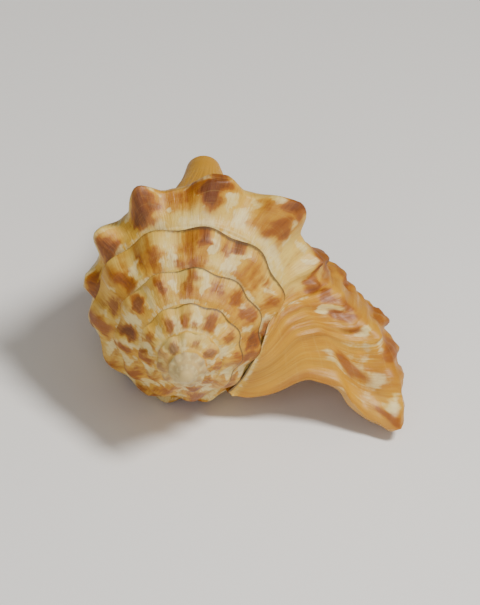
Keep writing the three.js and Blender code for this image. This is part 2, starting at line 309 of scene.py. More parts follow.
def hermite(at, values, x):
    """Smooth curves through values[..., k] at at[k], without overshoot, read at x."""
    slope = np.diff(values, axis=-1) / np.diff(at)
    tangent = np.empty(values.shape)
    tangent[..., 0] = slope[..., 0]
    tangent[..., -1] = slope[..., -1]
    before, after = slope[..., :-1], slope[..., 1:]
    same = before * after > 0
    total = np.where(same, before + after, 1)
    tangent[..., 1:-1] = np.where(same, 2 * before * after / total, 0)
    x = np.clip(x, at[0], at[-1])
    k = np.clip(np.searchsorted(at, x, side="right") - 1, 0, len(at) - 2)
    span = at[k + 1] - at[k]
    t = (x - at[k]) / span

    def take(table, n):
        if table.ndim == 1:
            return table[n]
        return np.take_along_axis(table, n, axis=-1)

    rise = t * t * (3 - 2 * t)
    level = mix(take(values, k), take(values, k + 1), rise)
    return level + span * t * (1 - t) * ((1 - t) * take(tangent, k) - t * take(tangent, k + 1))


def along(keys, x, column=1):
    table = np.asarray(keys, float)
    return hermite(table[:, 0], table[:, column], np.asarray(x, float))


def shoulder_at(turn):
    return along(SHOULDER, turn, 1), along(SHOULDER, turn, 2)


def side_at(turn, q):
    """Radius and depth below the shoulder, for turn (n, 1) and q (n, m)."""
    radius, depth = shoulder_at(turn)
    at = np.array([1, *SIDE_Q, 2])
    rows = range(1, len(SIDE_Q) + 1)
    end = np.ones_like(turn)
    radii = [radius] + [along(SIDE_RADIUS, turn, n) for n in rows] + [TIP_RADIUS * end]
    depths = [depth] + [along(SIDE_DEPTH, turn, n) for n in rows] + [TIP_DEPTH * end]
    return (
        hermite(at, np.concatenate(radii, 1), q),
        hermite(at, np.concatenate(depths, 1), q),
    )


def spire_edge(turn):
    radius, depth = shoulder_at(turn)
    return radius * EDGE_SPREAD + EDGE_OUT, depth + EDGE_DROP + radius * EDGE_SLOPE


def suture_at(turn):
    radius, depth = spire_edge(turn - 1)
    share = smooth(turn, *SUTURE_BLEND)
    radius = mix(radius, SUTURE_END[0][1], share)
    depth = mix(depth, SUTURE_END[0][2], share)
    late = turn > SUTURE_BLEND[1]
    return (
        np.where(late, along(SUTURE_END, turn, 1), radius),
        np.where(late, along(SUTURE_END, turn, 2), depth),
    )


def section(turn, q):
    """Radius and depth of the smooth whorl, for turn (n, 1) and q (n, m)."""
    suture_radius, suture_depth = suture_at(turn)
    radius, depth = shoulder_at(turn)
    wide = radius - suture_radius
    tall = depth - suture_depth
    on_ramp = np.clip(q, 0, 1)
    arch = 4 * on_ramp * (1 - on_ramp) * along(RAMP_ARCH, turn) / np.hypot(wide, tall)
    ramp_radius = suture_radius + wide * on_ramp - arch * tall
    ramp_depth = suture_depth + tall * on_ramp + arch * wide
    side_radius, side_depth = side_at(turn, np.maximum(q, 1))
    return np.where(q > 1, side_radius, ramp_radius), np.where(q > 1, side_depth, ramp_depth)


def bump(away):
    return np.where(away < 1, 0.5 + 0.5 * np.cos(np.pi * np.minimum(away, 1)), 0)


def knob_phase(turn):
    """Counts the spire's knobs: a whole number is the middle of one."""
    return (turn - KNOB_REFERENCE_TURN) * KNOBS_PER_TURN


def degrees_round(turn):
    """Degrees round from the back of the last whorl."""
    return (turn - TURNS) * 360


def last_whorl(turn, blend):
    """0 where the next whorl lies against this one, 1 on the last whorl."""
    return smooth(turn, LIP_TURN - 1, LIP_TURN - 1 + blend)


def knob_height(turn, q):
    """How high the knobs stand at a place on the whorl."""
    on_last = smooth(turn, *LAST_KNOBS)
    below = 1 - smooth(q, 1, mix(SPIRE_KNOB_END_Q, LAST_KNOB_END_Q, on_last))
    reach = np.where(q < 1, smooth(q, KNOB_FOOT_Q, 1), below)
    phase = knob_phase(turn)
    wave = np.cos(np.pi * (phase - np.round(phase))) ** 2
    radius = shoulder_at(turn)[0]
    spire = SPIRE_KNOB_SHARE * radius * wave * reach * smooth(turn, *FIRST_KNOBS)
    degrees = degrees_round(turn)
    last = 0
    for at, height, half_width in SHOULDER_KNOBS:
        last = last + height * bump(np.abs(degrees - at) / half_width) * reach
    for at, height, half_width, middle in SIDE_KNOBS:
        near = 1 - smooth(np.abs(q - middle), 0, SIDE_KNOB_REACH)
        last = last + height * bump(np.abs(degrees - at) / half_width) * near
    return mix(spire, last, on_last)


def place(turn, q, radius, depth):
    """Points with x to the right, y to the front end and z to the back of the shell."""
    lead = smooth(turn, LIP_TURN - LEAD_TURNS, LIP_TURN) * along(LIP_LEAD, q)
    azimuth = turn * 2 * np.pi + np.radians(lead)
    bend = smooth(depth, BEND_START, BEND_END)
    return np.stack(
        [
            radius * np.sin(azimuth) + BEND_SIDE * bend,
            depth,
            radius * np.cos(azimuth) + BEND_BACK * bend,
        ],
        -1,
    )


def outer_point(turn, q, knobs=True):
    radius, depth = section(turn, q)
    height = knob_height(turn, q) if knobs else 0
    return place(turn, q, radius + height, depth - KNOB_RISE * height)


def inner_point(turn, q):
    here = outer_point(turn, q, False)
    back = outer_point(turn - TURN_STEP, q, False) - here
    across = outer_point(turn, q + Q_STEP, False) - outer_point(turn, q - Q_STEP, False)
    inward = np.cross(back, across)
    inward /= np.linalg.norm(inward, axis=-1, keepdims=True)
    wall = mix(WALL_AT_LIP, WALL_INSIDE, np.clip((LIP_TURN - turn) / CAVITY_TURNS, 0, 1))
    return here + inward * wall[..., None]


def turn_of(column):
    column = np.asarray(column)
    whole = np.floor_divide(column, COLUMNS_PER_TURN)
    within = column - whole * COLUMNS_PER_TURN
    fine = np.maximum(0, within - COARSE_COLUMNS)
    degrees = (within - fine) * COARSE_DEGREES + fine * FINE_DEGREES / FINE_COLUMNS
    return LIP_TURN - TURNS + whole + degrees / 360


def seam_q(turn):
    """Where the next whorl's suture crosses this whorl."""

    def crossing(at):
        start = suture_at(at)[0]
        share = (suture_at(at + 1)[0] - start) / (shoulder_at(at)[0] - start)
        return np.clip(share, SEAM_MIN_Q, SEAM_Q)

    before = crossing(np.full_like(turn, LIP_TURN - 1))
    late = mix(before, SEAM_Q, last_whorl(turn, SEAM_BLEND))
    return np.where(turn <= LIP_TURN - 1, crossing(turn), late)


def side_q(turn, row):
    """q of the side's rows, for turn (n, 1) and row (m,)."""
    share = (row - 1) / (FRONT - 1)
    q = mix(CORNER_Q, along(FRONT_Q, turn), share)
    q = np.where(row > FRONT, 2, q)
    return np.where(row < 1, SEAM_Q, q)


def inner_q(turn, row):
    share = (row / (FRONT - 1)) ** along(INNER_SPACING, turn)
    return mix(along(INNER_START, turn), along(FRONT_Q, turn - 1), share)


def suture_distance(turn, q):
    """Millimetres down the ramp from the suture."""
    suture = suture_at(turn)
    shoulder = shoulder_at(turn)
    return np.hypot(shoulder[0] - suture[0], shoulder[1] - suture[1]) * q


def noise_at(points, frequency):
    values = [noise.noise(Vector(p) * frequency) for p in points.reshape(-1, 3).tolist()]
    return np.array(values).reshape(points.shape[:-1])


def relief_at(turn, q, points):
    """Height of the fine relief: a welt below the suture, growth ridges, slow ripples and lumps."""
    welt = WELT_HEIGHT * bump(np.abs(suture_distance(turn, q) - WELT_AT) / WELT_WIDTH)
    wander = sum(np.sin(turn * rate + start) for rate, start in RIDGE_WAVES)
    ridges = RIDGE_HEIGHT * np.sin(2 * np.pi * RIDGES_PER_TURN * turn + RIDGE_WANDER * wander)
    lip_share = mix(*LIP_RIDGE_SHARE, smooth(turn, *LIP_RIDGE_TURNS))
    ridges = ridges * smooth(q, *RIDGE_START_Q) * lip_share
    lumpy = smooth(turn, *LUMP_TURNS) * smooth(q, *LUMP_START_Q) * (1 - smooth(q, *LUMP_END_Q))
    ripples = RIPPLE_HEIGHT * noise_at(points, RIPPLE_FREQUENCY)
    lumps = LUMP_HEIGHT * noise_at(points, LUMP_FREQUENCY) * lumpy
    return smooth(shoulder_at(turn)[0], *RELIEF_RADIUS) * (welt + ridges + ripples + lumps)


def spiral_line(turn, q, layer):
    """What the corners of a line's points say, for one turn and a q for each point."""
    return [(turn, at, layer) for at in q]


class Sheet:
    """The shell's mesh. Each face corner keeps its own turn, q and layer."""

    def __init__(self):
        self.points = np.empty((0, 3))
        self.relief = np.empty(0)
        self.faces = []
        self.spiral = []

    def add(self, points, relief=None):
        first = len(self.points)
        points = points.reshape(-1, 3)
        relief = np.zeros(len(points)) if relief is None else relief.reshape(-1)
        self.points = np.concatenate([self.points, points])
        self.relief = np.concatenate([self.relief, relief])
        return np.arange(first, first + len(points))

    def grid(self, ids, turn, q, layer):
        """Quads between neighbouring lines. ids, turn and q have a row for each line."""
        where = np.stack(np.broadcast_arrays(turn, q, float(layer)), -1)

        def corners(a):
            return [a[:-1, :-1], a[:-1, 1:], a[1:, 1:], a[1:, :-1]]

        quads = np.stack(corners(ids), -1).reshape(-1, 4)
        spiral = np.stack(corners(where), -2).reshape(-1, 4, 3)
        self.faces.extend(quads.tolist())
        self.spiral.extend(spiral.tolist())

    def triangle(self, ids, where):
        if len(set(ids)) == 3:
            self.faces.append([int(n) for n in ids])
            self.spiral.append([list(w) for w in where])

    def strip(self, first, second, first_at, second_at, first_where, second_where):
        """Triangles between two lines with different numbers of points.

        first_at and second_at pair them: they say how far along its line each point is.
        """
        i = 0
        j = 0
        while i < len(first) - 1 or j < len(second) - 1:
            more = j < len(second) - 1
            if i < len(first) - 1 and (not more or first_at[i + 1] <= second_at[j + 1]):
                self.triangle(
                    (first[i], second[j], first[i + 1]),
                    (first_where[i], second_where[j], first_where[i + 1]),
                )
                i += 1
            else:
                self.triangle(
                    (first[i], second[j], second[j + 1]),
                    (first_where[i], second_where[j], second_where[j + 1]),
                )
                j += 1


class ShellSheet(Sheet):
    """The whole shell, part by part. Parts that meet share the points between them."""

    def __init__(self):
        super().__init__()
        self.turns = turn_of(np.arange(LIP + 1))[:, None]
        self.seam_at = seam_q(self.turns)
        self.add_seam()
        self.add_end_points()
        self.add_ramps()
        self.add_side()
        self.add_aperture()
        self.add_lip_edge()
        self.close_ends()

    def add_seam(self):
        """The line that one whorl's side and the next whorl's ramp share."""
        turns = self.turns
        next_radius, next_depth = suture_at(turns + 1)
        height = knob_height(turns, np.ones_like(turns)) * self.seam_at
        next_radius = next_radius + SEAM_KNOB_SHARE * height
        spire = place(turns, np.ones_like(turns), next_radius, next_depth - KNOB_RISE * height)
        last = outer_point(turns, self.seam_at)
        on_last = (np.arange(LIP + 1) > LAST_START)[:, None, None]
        covered = 1 - last_whorl(turns, LAST_WHORL_BLEND)
        groove = -GROOVE_DEPTH * smooth(turns, *GROOVE_TURNS) * covered
        self.seam = self.add(np.where(on_last, last, spire), groove)

    def add_end_points(self):
        """The apex, and the middle of the front end."""
        self.apex = self.add(np.zeros((1, 3)))[0]
        turn, q, depth = (np.full((1, 1), float(n)) for n in (TURNS, 2, TIP_DEPTH + TIP_ROUNDING))
        self.tip = self.add(place(turn, q, 0, depth))[0]

    def ramp_lines(self, first, last, rows):
        """A stretch of the ramp, from column first to last. Its ids and q have a row for each."""
        turn = self.turns[first : last + 1]
        q = self.seam_at[first : last + 1] * (np.arange(rows + 1) / rows) ** RAMP_SPACING
        inside = outer_point(turn, q[:, 1:-1])
        relief = relief_at(turn, q[:, 1:-1], inside)
        ids = np.empty(q.shape, int)
        ids[:, 0] = self.seam[first - COLUMNS_PER_TURN : last + 1 - COLUMNS_PER_TURN]
        ids[:, 1:-1] = self.add(inside, relief).reshape(len(ids), -1)
        ids[:, -1] = self.seam[first : last + 1]
        self.grid(ids, turn, q, OUTSIDE)
        return ids, q

    def add_ramps(self):
        """Few rows on the spire, more on the last whorl."""
        spire, spire_q = self.ramp_lines(COLUMNS_PER_TURN, LAST_START, SPIRE_ROWS)
        last, last_q = self.ramp_lines(LAST_START + 1, LIP, RAMP_ROWS)
        spire_where = spiral_line(self.turns[LAST_START, 0], spire_q[-1], OUTSIDE)
        last_where = spiral_line(self.turns[LAST_START + 1, 0], last_q[0], OUTSIDE)
        self.strip(spire[-1], last[0], spire_q[-1], last_q[0], spire_where, last_where)
        self.first_ramp = spire[0]
        self.lip_ramp = last[-1]
        self.lip_ramp_q = last_q[-1]

    def add_side(self):
        """The last whorl's side, and before it the part of the whorl that the aperture shows."""
        turn = self.turns[FLOOR_END:]
        q = side_q(turn, np.arange(SIDE_ROWS + 1))
        inside = outer_point(turn, q[:, 1:])
        relief = relief_at(turn, q[:, 1:], inside) * (1 - smooth(q[:, 1:], *RELIEF_END_Q))
        relief *= last_whorl(turn, LAST_WHORL_BLEND)
        side = np.empty(q.shape, int)
        side[:, 0] = self.seam[FLOOR_END:]
        side[:, 1:] = self.add(inside, relief).reshape(inside.shape[:2])
        side[-1, -1] = side[SIDE_START, -1]
        self.grid(side[SIDE_START:], turn[SIDE_START:], q[SIDE_START:], OUTSIDE)
        self.side = side
        self.side_turn = turn
        self.side_q = q

    def add_aperture(self):
        """The whorl before is its floor, and the inside of the last whorl is its roof."""
        wall = self.side[:, 1 : FRONT + 1]
        before = slice(SIDE_START + 1)
        self.grid(wall[before], self.side_turn[before], self.side_q[before, 1 : FRONT + 1], FLOOR)
        turn = self.turns[CAVITY_START:]
        q = inner_q(turn, np.arange(FRONT))
        border = wall[END_WALL_LEAN : END_WALL_LEAN + len(turn)]
        roof = np.empty(q.shape, int)
        roof[:, 0] = border[:, 0]
        roof[:, 1:-1] = self.add(inner_point(turn, q[:, 1:-1])).reshape(len(roof), -1)
        roof[:, -1] = border[:, -1]
        self.grid(roof[::-1], turn[::-1], q[::-1], ROOF)
        lean = wall[1 : END_WALL_LEAN + 1]
        end = [*lean[::-1, 0], *wall[0], *lean[:, -1]]
        even = [np.linspace(0, 1, len(line)) for line in (roof[0], end)]
        roof_where = spiral_line(turn[0, 0], [CORNER_Q] * FRONT, ROOF)
        end_where = spiral_line(self.side_turn[0, 0], [CORNER_Q] * len(end), FLOOR)
        self.strip(roof[0], end, *even, roof_where, end_where)
        self.lip_roof = roof[-1]
        self.lip_roof_q = [0, *q[-1, 1:]]

    def add_lip_edge(self):
        outer = [*self.lip_ramp, *self.side[-1, 1:]]
        outer_q = [*self.lip_ramp_q, *self.side_q[-1, 1:]]
        outer_where = spiral_line(LIP_TURN, outer_q, EDGE)
        inner_where = spiral_line(LIP_TURN, self.lip_roof_q, EDGE)
        self.strip(outer, self.lip_roof, outer_q, self.lip_roof_q, outer_where, inner_where)

    def close_ends(self):
        seam = self.seam
        for column in range(COLUMNS_PER_TURN - 1):
            self.triangle((self.apex, seam[column + 1], seam[column]), [(1, 0, OUTSIDE)] * 3)
        first = self.first_ramp
        at = np.linspace(0, 1, len(first))
        first_where = spiral_line(1, [0] * len(first), OUTSIDE)
        start = [self.apex, seam[COLUMNS_PER_TURN - 1]]
        self.strip(start, first, [0, 1], at, first_where[:2], first_where)
        ring = self.side[SIDE_START:, -1]
        for here, after in zip(ring[:-1], ring[1:]):
            self.triangle((self.tip, here, after), [(TURNS, 2, OUTSIDE)] * 3)


def rest_matrix():
    pitch = Matrix.Rotation(np.radians(REST_PITCH), 3, "X")
    roll = Matrix.Rotation(np.radians(REST_ROLL), 3, "Y")
    return np.array(pitch @ roll)


def vertex_normals(points, faces):
    normals = np.zeros_like(points)
    quads = np.array([face if len(face) == 4 else [*face, face[0]] for face in faces])
    for corners in ((0, 1, 2), (0, 2, 3)):
        triangles = quads[:, corners]
        a, b, c = (points[triangles[:, n]] for n in range(3))
        area = np.cross(b - a, c - a)
        for n in range(3):
            np.add.at(normals, triangles[:, n], area)
    return normals / (np.linalg.norm(normals, axis=1, keepdims=True) + 1e-12)


def shell_object():
    sheet = ShellSheet()
    points = sheet.points + vertex_normals(sheet.points, sheet.faces) * sheet.relief[:, None]
    points = points @ rest_matrix().T
    low, high = points.min(0), points.max(0)
    shift = -np.array([(low[0] + high[0]) / 2, (low[1] + high[1]) / 2, low[2] + WEAR])
    points = (points + shift) * MM
    # Cut at the CAD's box. At the floor this is the worn flat. It also takes up to 2.4 mm off the
    # highest knob, mostly because its peak falls between the CAD's columns, and up to 0.6 mm off
    # the left and the right.
    points = np.clip(points, *[np.array(corner) for corner in cad_box])
    mesh = bpy.data.meshes.new("shell_surface")
    mesh.from_pydata(points.tolist(), [], sheet.faces)
    mesh.polygons.foreach_set("use_smooth", [True] * len(mesh.polygons))
    spiral = mesh.attributes.new("spiral", "FLOAT_VECTOR", "CORNER")
    corners = np.array([w for face in sheet.spiral for w in face])
    spiral.data.foreach_set("vector", corners.ravel())
    paint(mesh, corners)
    mesh.set_sharp_from_angle(angle=np.radians(SHARP_ANGLE))
    shell = bpy.data.objects.new("shell_surface", mesh)
    bpy.context.collection.objects.link(shell)
    return shell, shift * MM


# Markings that the photo shows: degrees round from the back, q, half width in degrees, half width
# in q, strength. A whorl up the spire is 360 degrees less.
BROWN_MARKS = [
    [13, 0.78, 6.5, 0.34, 1.2],
    [2, 0.82, 9, 0.2, 0.55],
    [-8, 0.85, 5, 0.2, 0.45],
    [-22, 0.66, 9, 0.4, 1.0],
    [-50, 0.58, 8, 0.36, 0.8],
    [-73, 0.56, 9, 0.4, 0.8],
    [-100, 0.6, 11, 0.5, 0.85],
    [-128, 0.7, 10, 0.35, 0.7],
    [49, 0.9, 6, 0.17, 0.95],
    [49, 0.58, 6, 0.2, 0.72],
    [38, 0.85, 5, 0.14, 0.55],
    [81, 0.98, 6, 0.12, 0.95],
    [93, 0.82, 8, 0.13, 0.85],
    [90, 1.18, 7, 0.1, 0.95],
    [105, 0.9, 5, 0.1, 0.8],
    [108, 1.2, 6, 0.1, 0.75],
    [117.5, 0.88, 3, 0.1, 0.8],
    [122, 0.82, 3, 0.09, 0.55],
    [129, 1.17, 5, 0.09, 0.65],
    [140, 0.73, 4, 0.13, 0.6],
    [137, 1.12, 4, 0.1, 0.6],
    [150.5, 0.93, 1.4, 0.1, 0.7],
    [98, 1.1, 16, 0.14, 0.42],
    [118, 1.28, 14, 0.2, 0.38],
    [112, 0.98, 5, 0.08, 0.5],
    [86, 0.9, 4, 0.1, 0.6],
    [-384, 0.6, 8, 0.55, 0.45],
    [-392, 0.8, 4, 0.3, 0.5],
    [-409, 0.6, 7, 0.5, 0.7],
    [-430, 0.6, 7, 0.45, 0.6],
    [-358, 0.8, 8, 0.35, 0.45],
    [-351, 0.3, 8, 0.3, 0.6],
    [-349, 0.9, 4, 0.25, 0.95],
    [-362, 0.25, 6, 0.2, 0.5],
    [-334, 0.9, 4, 0.2, 0.5],
    [-324, 1.0, 5, 0.12, 1.0],
    [-309, 0.55, 9, 0.42, 0.4],
    [-300, 0.85, 6, 0.2, 0.5],
    [-286, 0.7, 6, 0.25, 0.55],
    [-264, 0.5, 9, 0.35, 0.7],
    [-240, 0.6, 8, 0.35, 0.7],
    [-715, 0.7, 8, 0.42, 0.6],
    [-690, 0.72, 8, 0.32, 0.6],
    [-742, 0.72, 5, 0.3, 0.85],
    [-768, 0.75, 6, 0.3, 1.0],
    [-797, 0.7, 8, 0.38, 1.0],
    [-670, 0.72, 9, 0.34, 0.6],
    [-652, 0.75, 9, 0.36, 0.7],
    [-624, 0.7, 9, 0.4, 0.9],
    [-1105, 0.55, 9, 0.4, 0.6],
    [-1080, 0.6, 9, 0.42, 0.5],
    [-1044, 0.65, 11, 0.42, 0.7],
    [-1064, 0.35, 7, 0.2, 0.5],
    [-1010, 0.7, 9, 0.3, 0.6],
    [-1140, 0.7, 10, 0.3, 0.6],
    [-1472, 0.5, 16, 0.4, 0.95],
    [-1415, 0.55, 12, 0.3, 0.55],
    [-1375, 0.55, 12, 0.42, 0.85],
]
WHITE_MARKS_AND_HIGHLIGHTS = [
    # The next five are the knob tips' white: partly their real cream, partly a painted highlight
    [5, 1.0, 5, 0.07, 1.0],
    [-26, 0.99, 12, 0.09, 0.85],
    [-48, 0.97, 12, 0.15, 0.95],
    [-73, 0.98, 12, 0.15, 0.95],
    [-98, 0.99, 12, 0.13, 0.85],
    [-13, 0.97, 3, 0.12, 0.8],
    [-17, 0.62, 2, 0.1, 0.7],
    [-9.5, 0.62, 2, 0.08, 0.7],
    [7, 0.62, 1.5, 0.16, 0.7],
    [23, 0.7, 3, 0.22, 0.9],
    [31, 0.55, 5, 0.4, 0.7],
    [34, 0.86, 2.6, 0.14, 0.9],
    [42, 1.0, 2.5, 0.1, 0.9],
    # The next two are painted highlights: specks of light on the right face of the knob at 49
    # degrees
    [53, 0.74, 2, 0.08, 0.9],
    [57, 0.62, 2.5, 0.1, 0.8],
    [66, 0.95, 5, 0.1, 0.6],
    # A painted highlight beside the knob at 80 degrees
    [75, 0.86, 3, 0.12, 0.75],
    [86, 1.08, 5, 0.05, 0.8],
    [99, 1.05, 4, 0.04, 0.6],
    [101, 0.45, 2.5, 0.35, 0.55],
    [113.5, 0.82, 3, 0.16, 1.0],
    [124, 0.93, 1.5, 0.08, 0.7],
    [132, 1.04, 4, 0.04, 0.5],
    [139, 0.92, 6, 0.08, 0.4],
    [148.5, 0.98, 1.6, 0.06, 0.75],
    [134, 0.86, 18, 0.18, 0.42],
    [144, 0.72, 8, 0.3, 0.42],
    [-371, 0.7, 2.5, 0.45, 0.85],
    [-369, 0.3, 4.5, 0.2, 0.9],
    [-376, 0.45, 2, 0.25, 0.6],
    [-342, 0.8, 2.6, 0.32, 0.95],
    [-327, 0.55, 5, 0.45, 1.0],
    [-321, 0.85, 5, 0.12, 0.9],
    [-333, 0.25, 3, 0.2, 0.7],
    [-399, 0.6, 4, 0.4, 0.9],
    [-419, 0.8, 4, 0.25, 0.5],
    [-442, 0.6, 5, 0.4, 0.8],
    [-293, 0.8, 4, 0.22, 0.7],
    [-275, 0.5, 5, 0.4, 0.6],
    [-250, 0.6, 4, 0.3, 0.6],
    [-703, 0.75, 4, 0.34, 0.9],
    [-730, 0.75, 4, 0.25, 0.8],
    [-755, 0.6, 6, 0.4, 0.8],
    [-783, 0.6, 7, 0.45, 0.8],
    [-661, 0.8, 3, 0.2, 0.6],
    [-810, 0.6, 6, 0.45, 0.8],
    [-640, 0.5, 5, 0.4, 0.5],
    [-1093, 0.5, 6, 0.5, 1.0],
    [-1064, 0.62, 8, 0.4, 1.0],
    [-1124, 0.5, 9, 0.5, 0.8],
    [-1027, 0.6, 8, 0.4, 0.7],
    [-995, 0.5, 9, 0.5, 0.8],
    [-1446, 0.5, 12, 0.5, 0.8],
    [-1395, 0.7, 8, 0.3, 0.6],
]
OCHRE_MARKS = [
    [-2, 0.82, 32, 0.34, 0.85],
    [-50, 0.6, 12, 0.5, 0.7],
    [-75, 0.6, 12, 0.5, 0.6],
    [-105, 0.6, 22, 0.6, 0.8],
    [45, 0.75, 14, 0.36, 0.85],
    [82, 0.98, 9, 0.2, 0.9],
    [-385, 0.55, 12, 0.6, 0.85],
    [-412, 0.55, 12, 0.6, 0.8],
    [-354, 0.55, 14, 0.7, 1.0],
    [-309, 0.55, 14, 0.6, 0.75],
    [-270, 0.6, 24, 0.6, 0.8],
    [-712, 0.35, 20, 0.4, 0.75],
    [-690, 0.4, 20, 0.4, 0.8],
    [-660, 0.5, 26, 0.6, 0.8],
    [-620, 0.6, 24, 0.6, 0.8],
    [-745, 0.5, 16, 0.6, 0.45],
    [-785, 0.5, 20, 0.6, 0.45],
    [-1080, 0.5, 10, 0.5, 0.5],
    [-1040, 0.5, 20, 0.5, 0.4],
]
# Degrees between which these marks are placed one by one. Elsewhere the knobs set the pattern.
MARKED = [(-446, -216), (-146, 300), (-815, -612), (-1150, -985), (-1490, -1360)]
MARKED_BLEND = 8

# How square a mark is, and how far from its middle it fades
MARK_SQUARENESS = 2.6
MARK_FADE = (0.35, 1.3)

# The distance from the suture is kept as far as this, in millimetres
GAP_RANGE = 6

# Waves that bend the pattern: height, radians for each turn and for each q
DEGREE_WAVES = [(1.6, 43, 11), (1.1, -131, 27)]
Q_WAVES = [(0.035, 97, 0), (0.025, 211, 5)]
KNOB_WAVES = [(0.12, 31, 9)]
FLAME_WAVES = [(1.5, 9, 5)]
FLAMES_PER_TURN = 13

# Degrees round from the back where the hidden side ends, where the lip's ochre starts, and where
# the pale band above the shoulder ends. Turns where that band starts.
HIDDEN_END = (-150, -120)
LIP_OCHRE = (86, 104)
PALE_END = (78, 96)
PALE_START_TURNS = (7.5, 7.8)

# Strengths of the pattern where no mark sets it
PALE_STRENGTH = 0.5
SIDE_BROWN = 0.62
SIDE_WHITE = 0.5
SIDE_OCHRE = 0.75
SIDE_BLEND = 0.02

# White on the welt: strength, millimetres from the suture, half width, and turns where it starts
WELT_WHITE = 0.62
WELT_WHITE_AT = 2.2
WELT_WHITE_WIDTH = 1.4
WELT_WHITE_TURNS = (3, 5)

# The dark suture line, painted shade in the suture's crease, is finer on the left and toward the
# apex, so its gap is widened there, in millimetres. It lies this far from the next whorl's seam.
GAP_AT_SEAM = 0.12
LEFT_GAP = 0.4
APEX_GAP = 3
APEX_GAP_TURNS = (2.5, 5)

# Where the right side starts, as a share of a turn. It is half a turn long.
RIGHT_SIDE_TURN = 0.97

# Turns over which the worn grey of the apex ends
APEX_TURNS = (2.6, 4.6)


def waves(table, turn, q):
    return sum(height * np.sin(turn * per_turn + q * per_q) for height, per_turn, per_q in table)


def marks_field(marks, degrees, q):
    field = np.zeros_like(q)
    for at, middle, wide, tall, strength in marks:
        sideways = np.abs((degrees - at) / wide) ** MARK_SQUARENESS
        down = np.abs((q - middle) / tall) ** MARK_SQUARENESS
        away = (sideways + down) ** (1 / MARK_SQUARENESS)
        field = np.maximum(field, strength * (1 - smooth(away, *MARK_FADE)))
    return field


def marked_share(degrees):
    """1 where the marks are placed one by one, 0 where the knobs set the pattern."""
    share = np.zeros_like(degrees)
    for low, high in MARKED:
        after = smooth(degrees, low, low + MARKED_BLEND)
        before = 1 - smooth(degrees, high - MARKED_BLEND, high)
        share = np.maximum(share, after * before)
    return share


def knob_pattern(turn, q, bent_q, vary):
    """Brown on the knobs and white between them."""
    on_knob = 0.5 + 0.5 * np.cos(2 * np.pi * (knob_phase(turn) + waves(KNOB_WAVES, turn, q)))
    brown = (0.28 + 0.45 * vary) * smooth(on_knob, 0.3, 0.8) * smooth(bent_q, 0.25, 0.65)
    white = (0.95 - 0.5 * vary) * (1 - smooth(on_knob, 0.1, 0.5)) * smooth(bent_q, 0.15, 0.5)
    return brown, white


def side_pattern(turn, q):
    """Flames of brown and white that run from the shoulder toward the front end."""
    flames = 0.5 + 0.5 * np.sin(2 * np.pi * FLAMES_PER_TURN * turn + waves(FLAME_WAVES, turn, q))
    brown = SIDE_BROWN * flames * (1 - smooth(q, 1.5, 1.85))
    white = SIDE_WHITE * (1 - flames) * (1 - smooth(q, 1.3, 1.6))
    return brown, white


def suture_gap(turn, q):
    """Millimetres from the nearer suture, by which the material paints the crease's shade as a dark
    line.
    """
    across = suture_distance(turn, q)
    to_seam = across * np.maximum(seam_q(turn) / np.maximum(q, 0.05) - 1, 0) + GAP_AT_SEAM
    gap = np.minimum(across, np.where(turn < LIP_TURN - 1, to_seam, GAP_RANGE))
    right = smooth(np.sin(2 * np.pi * (turn - RIGHT_SIDE_TURN)), -0.6, 0.6)
    return gap + LEFT_GAP * (1 - right) + APEX_GAP * (1 - smooth(turn, *APEX_GAP_TURNS))


def add_field(mesh, name, *channels):
    attribute = mesh.attributes.new(name, "FLOAT_COLOR", "CORNER")
    attribute.data.foreach_set("color", np.stack(channels, 1).astype(float).ravel())


def paint(mesh, corners):
    """Soft fields of the markings, a number for each face corner, which the material breaks up."""
    turn, q, layer = corners.T
    around = degrees_round(turn)
    degrees = around + waves(DEGREE_WAVES, turn, q)
    bent_q = q + waves(Q_WAVES, turn, q)
    vary = 0.5 + 0.5 * np.sin(turn * 17.3) * np.sin(turn * 7.1 + 1)
    placed = marked_share(degrees)
    hidden = 1 - smooth(around, *HIDDEN_END)
    below = smooth(q, 1.2 - 0.15 * hidden, 1.42) * last_whorl(turn, SIDE_BLEND)
    knob_brown, knob_white = knob_pattern(turn, q, bent_q, vary)
    side_brown, side_white = side_pattern(turn, q)
    brown = mix(knob_brown, marks_field(BROWN_MARKS, degrees, bent_q), placed)
    brown = mix(brown, side_brown, below)
    white = mix(knob_white, marks_field(WHITE_MARKS_AND_HIGHLIGHTS, degrees, bent_q), placed)
    white = mix(white, side_white, below)
    ochre = mix(0.4 + 0.3 * vary, marks_field(OCHRE_MARKS, degrees, bent_q), placed)
    lip = smooth(around, *LIP_OCHRE) * smooth(q, 0.01, 0.12)
    ochre = np.maximum(mix(ochre, SIDE_OCHRE, below), lip)
    pale = PALE_STRENGTH * (1 - smooth(q, 0.3, 0.55)) * smooth(turn, *PALE_START_TURNS)
    pale = pale * (1 - smooth(around, *PALE_END))
    welt = WELT_WHITE * bump(np.abs(suture_distance(turn, q) - WELT_WHITE_AT) / WELT_WHITE_WIDTH)
    welt = welt * smooth(turn, *WELT_WHITE_TURNS) * (1 - 0.6 * lip)
    white = np.maximum(white, np.maximum(pale, welt))
    apex = 1 - smooth(turn, *APEX_TURNS)
    gap = mix(1, np.minimum(suture_gap(turn, q) / GAP_RANGE, 1), layer == OUTSIDE)
    add_field(mesh, "marks", brown, white, ochre, apex)
    add_field(mesh, "parts", gap, layer == ROOF, layer == FLOOR, layer == EDGE)


def srgb(red, green, blue):
    """A colour given as it looks on a screen, 0 to 255."""
    share = np.array([red, green, blue]) / 255
    linear = np.where(share <= 0.04045, share / 12.92, ((share + 0.055) / 1.055) ** 2.4)
    return (*linear, 1)


